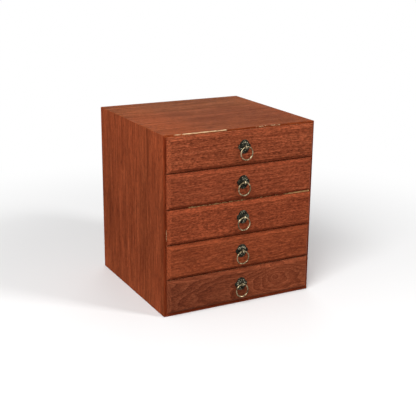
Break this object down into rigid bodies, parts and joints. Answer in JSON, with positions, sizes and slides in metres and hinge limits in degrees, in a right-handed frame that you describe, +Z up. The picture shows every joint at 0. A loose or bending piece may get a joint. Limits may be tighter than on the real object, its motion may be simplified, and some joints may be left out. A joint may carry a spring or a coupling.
{
  "type": "tabletop drawer cabinet",
  "caption": "Tabletop wooden cabinet with equal drawers behind bevelled overlay faces, each opened by a small hanging ring pull on a lobed plate.",
  "frame": {"origin": "Centre of the underside of the case, on the surface that the cabinet stands on.", "axes": "+Z up, +X to the right seen from the front, the drawer faces look along -Y."},
  "size_m": [0.23, 0.2324, 0.25],
  "materials": {
    "stained_wood": "red-brown stain with a low satin sheen, grain in sight",
    "bare_wood": "pale unstained wood, planed",
    "antique_brass": "dark antique brass, worn bright on the raised edges",
    "nail_steel": "plain steel"
  },
  "bodies": {
    "case": {"left_side": "stained_wood", "right_side": "stained_wood", "top_panel": "stained_wood", "bottom_panel": "stained_wood", "back_panel": "stained_wood", "shelf_1": "bare_wood", "shelf_2": "bare_wood", "shelf_3": "bare_wood", "shelf_4": "bare_wood", "back_nails": "nail_steel"},
    "drawer_1": {"drawer_1_face": "stained_wood", "drawer_1_front": "bare_wood", "drawer_1_left": "bare_wood", "drawer_1_right": "bare_wood", "drawer_1_back": "bare_wood", "drawer_1_base": "bare_wood", "drawer_1_nails": "nail_steel", "pull_1_plate": "antique_brass", "pull_1_pin": "antique_brass"},
    "ring_1": {"pull_1_ring": "antique_brass"},
    "drawer_2": {"drawer_2_face": "stained_wood", "drawer_2_front": "bare_wood", "drawer_2_left": "bare_wood", "drawer_2_right": "bare_wood", "drawer_2_back": "bare_wood", "drawer_2_base": "bare_wood", "drawer_2_nails": "nail_steel", "pull_2_plate": "antique_brass", "pull_2_pin": "antique_brass"},
    "ring_2": {"pull_2_ring": "antique_brass"},
    "drawer_3": {"drawer_3_face": "stained_wood", "drawer_3_front": "bare_wood", "drawer_3_left": "bare_wood", "drawer_3_right": "bare_wood", "drawer_3_back": "bare_wood", "drawer_3_base": "bare_wood", "drawer_3_nails": "nail_steel", "pull_3_plate": "antique_brass", "pull_3_pin": "antique_brass"},
    "ring_3": {"pull_3_ring": "antique_brass"},
    "drawer_4": {"drawer_4_face": "stained_wood", "drawer_4_front": "bare_wood", "drawer_4_left": "bare_wood", "drawer_4_right": "bare_wood", "drawer_4_back": "bare_wood", "drawer_4_base": "bare_wood", "drawer_4_nails": "nail_steel", "pull_4_plate": "antique_brass", "pull_4_pin": "antique_brass"},
    "ring_4": {"pull_4_ring": "antique_brass"},
    "drawer_5": {"drawer_5_face": "stained_wood", "drawer_5_front": "bare_wood", "drawer_5_left": "bare_wood", "drawer_5_right": "bare_wood", "drawer_5_back": "bare_wood", "drawer_5_base": "bare_wood", "drawer_5_nails": "nail_steel", "pull_5_plate": "antique_brass", "pull_5_pin": "antique_brass"},
    "ring_5": {"pull_5_ring": "antique_brass"}
  },
  "joints": [
    {"name": "drawer_1_slide", "type": "slide", "parent": "case", "child": "drawer_1", "axis": [0, -1, 0], "range_m": [-0.001, 0.16]},
    {"name": "ring_1_swing", "type": "hinge", "parent": "drawer_1", "child": "ring_1", "pos_m": [0, -0.1206, 0.22625], "axis": [-1, 0, 0], "range_deg": [-8.5, 188.5]},
    {"name": "drawer_2_slide", "type": "slide", "parent": "case", "child": "drawer_2", "axis": [0, -1, 0], "range_m": [0, 0.16]},
    {"name": "ring_2_swing", "type": "hinge", "parent": "drawer_2", "child": "ring_2", "pos_m": [0, -0.1196, 0.17735], "axis": [-1, 0, 0], "range_deg": [-8.5, 188.5]},
    {"name": "drawer_3_slide", "type": "slide", "parent": "case", "child": "drawer_3", "axis": [0, -1, 0], "range_m": [-0.001, 0.16]},
    {"name": "ring_3_swing", "type": "hinge", "parent": "drawer_3", "child": "ring_3", "pos_m": [0, -0.1206, 0.12845], "axis": [-1, 0, 0], "range_deg": [-8.5, 188.5]},
    {"name": "drawer_4_slide", "type": "slide", "parent": "case", "child": "drawer_4", "axis": [0, -1, 0], "range_m": [0, 0.16]},
    {"name": "ring_4_swing", "type": "hinge", "parent": "drawer_4", "child": "ring_4", "pos_m": [0, -0.1196, 0.07955], "axis": [-1, 0, 0], "range_deg": [-8.5, 188.5]},
    {"name": "drawer_5_slide", "type": "slide", "parent": "case", "child": "drawer_5", "axis": [0, -1, 0], "range_m": [0, 0.16]},
    {"name": "ring_5_swing", "type": "hinge", "parent": "drawer_5", "child": "ring_5", "pos_m": [0, -0.1196, 0.03065], "axis": [-1, 0, 0], "range_deg": [-8.5, 188.5]}
  ]
}
